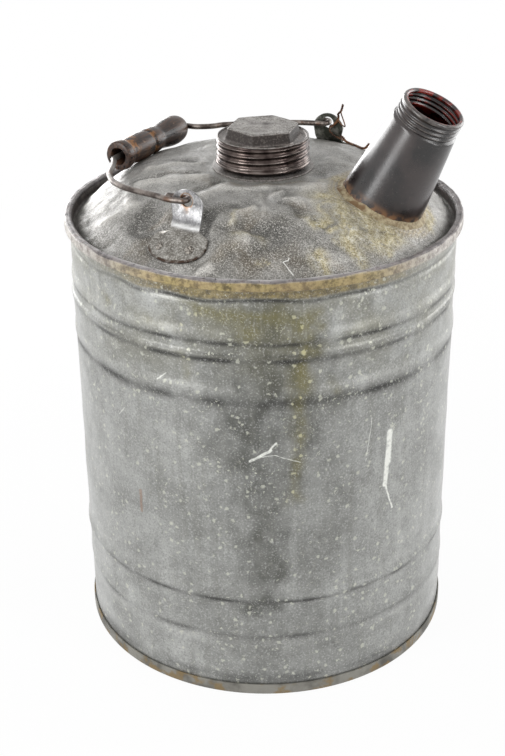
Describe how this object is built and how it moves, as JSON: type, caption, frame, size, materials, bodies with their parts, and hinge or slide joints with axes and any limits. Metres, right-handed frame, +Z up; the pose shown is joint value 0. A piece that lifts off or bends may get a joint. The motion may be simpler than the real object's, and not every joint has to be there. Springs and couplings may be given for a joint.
{
  "type": "metal fuel can",
  "caption": "Round galvanised fuel can with a beaded body, domed top, hexagonal screw cap, slanted open spout and a wire bail handle with a turned wooden grip.",
  "frame": {"origin": "centre of the base on the surface that the can stands on", "axes": "+Z up along the can's axis, +X towards the pouring spout, +Y towards the rear handle ear"},
  "size_m": [0.2836, 0.28, 0.4186],
  "materials": {
    "galvanised_body": "dull weathered zinc with stains and white speckles",
    "galvanised_dome": "creased weathered zinc with ochre dirt round the spout",
    "bronzed_steel": "dark worn steel with grey dust on its top",
    "cork_gasket": "pressed cork",
    "black_spout": "worn glossy black paint with rust at its foot",
    "old_solder": "dull solder under ochre dirt",
    "galvanised_fittings": "worn zinc",
    "bail_steel": "dark oxidised steel wire",
    "dark_wood": "dark turned wood worn orange-brown at its ends",
    "rusty_wire": "rusty iron binding wire"
  },
  "bodies": {
    "can": {"body_shell": "galvanised_body", "top_dome": "galvanised_dome", "bottom_panel": "galvanised_body", "fill_neck": "bronzed_steel", "spout_tube": "black_spout", "spout_solder": "old_solder", "ear_front": "galvanised_fittings", "ear_rear": "galvanised_fittings", "rivet_front_a": "galvanised_fittings", "rivet_front_b": "galvanised_fittings", "rivet_rear_a": "galvanised_fittings", "rivet_rear_b": "galvanised_fittings", "tether_wire": "rusty_wire"},
    "bail": {"bail_wire": "bail_steel"},
    "grip": {"bail_grip": "dark_wood"},
    "gasket": {"cap_gasket": "cork_gasket"},
    "cap": {"fill_cap": "bronzed_steel"}
  },
  "joints": [
    {"name": "bail_swing", "type": "hinge", "parent": "can", "child": "bail", "pos_m": [0, 0, 0.357], "axis": [0.0384, 0.9993, 0], "range_deg": [0, 150]},
    {"name": "grip_spin", "type": "hinge", "parent": "bail", "child": "grip", "pos_m": [-0.10046, 0.01237, 0.35175], "axis": [0.0245, 0.9997, -0.0007], "continuous": true},
    {"name": "cap_lift", "type": "slide", "parent": "can", "child": "gasket", "axis": [0, 0, 1], "range_m": [0, 0.01291]},
    {"name": "cap_turn", "type": "hinge", "parent": "gasket", "child": "cap", "pos_m": [0, 0, 0.36], "axis": [0, 0, 1], "range_deg": [0, 1080]}
  ],
  "couplings": [
    {"joint": "cap_lift", "follows": "cap_turn", "m_per_rad": 0.00068437}
  ]
}
